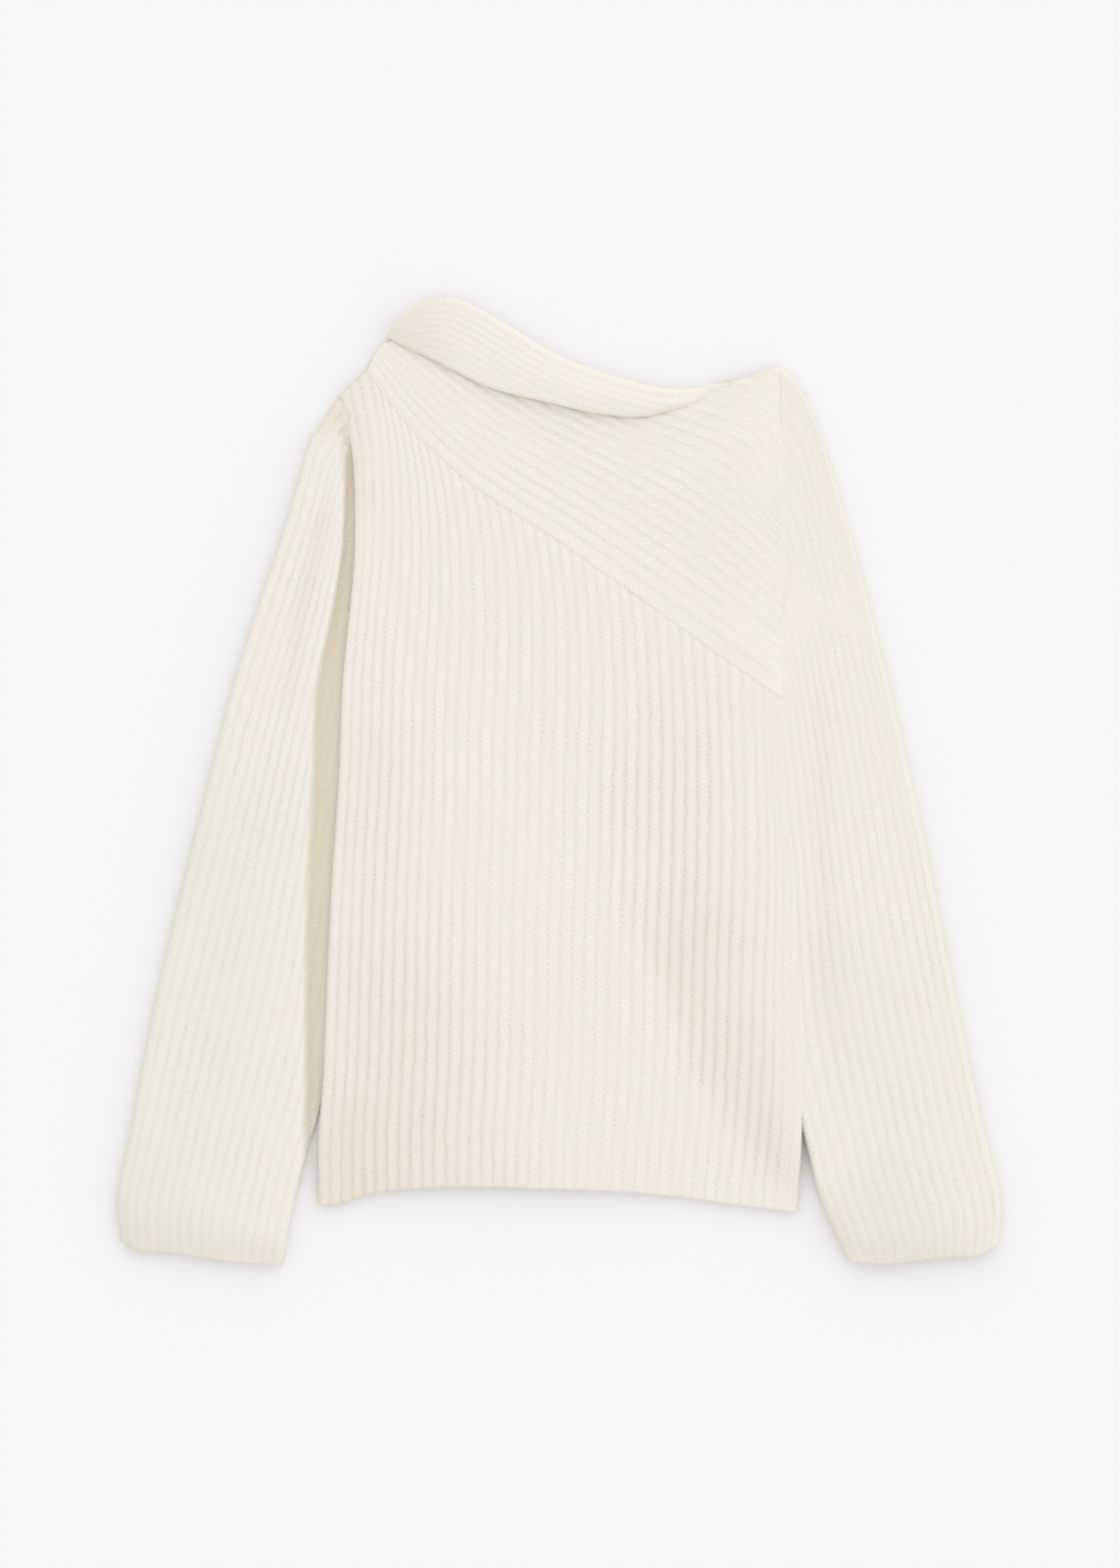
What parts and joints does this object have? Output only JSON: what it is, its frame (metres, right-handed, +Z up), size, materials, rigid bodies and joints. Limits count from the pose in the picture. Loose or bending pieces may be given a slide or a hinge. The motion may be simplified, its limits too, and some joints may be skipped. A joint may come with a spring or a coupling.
{
  "type": "ribbed sweater",
  "caption": "Cream ribbed knit sweater laid out flat, with a diagonal seam across the chest, a folded asymmetric rib collar and long sleeves.",
  "frame": {"origin": "centre of the laid-out sweater's box, on the surface that it lies on", "axes": "+Z up off the surface, +Y from the hem towards the neck, +X towards the wearer's left sleeve"},
  "size_m": [0.6541, 0.7184, 0.0155],
  "materials": {
    "body_knit": "matt cream wool rib knit",
    "yoke_knit": "matt cream wool rib knit, ribs along the diagonal seam",
    "collar_knit": "matt cream wool fine rib knit",
    "sleeve_knit": "matt cream wool rib knit, ribs along the arm"
  },
  "bodies": {
    "root": {"back_panel": "body_knit", "front_panel": "body_knit", "front_yoke": "yoke_knit", "back_collar": "collar_knit", "collar": "collar_knit", "right_sleeve": "sleeve_knit", "left_sleeve": "sleeve_knit"}
  },
  "joints": []
}
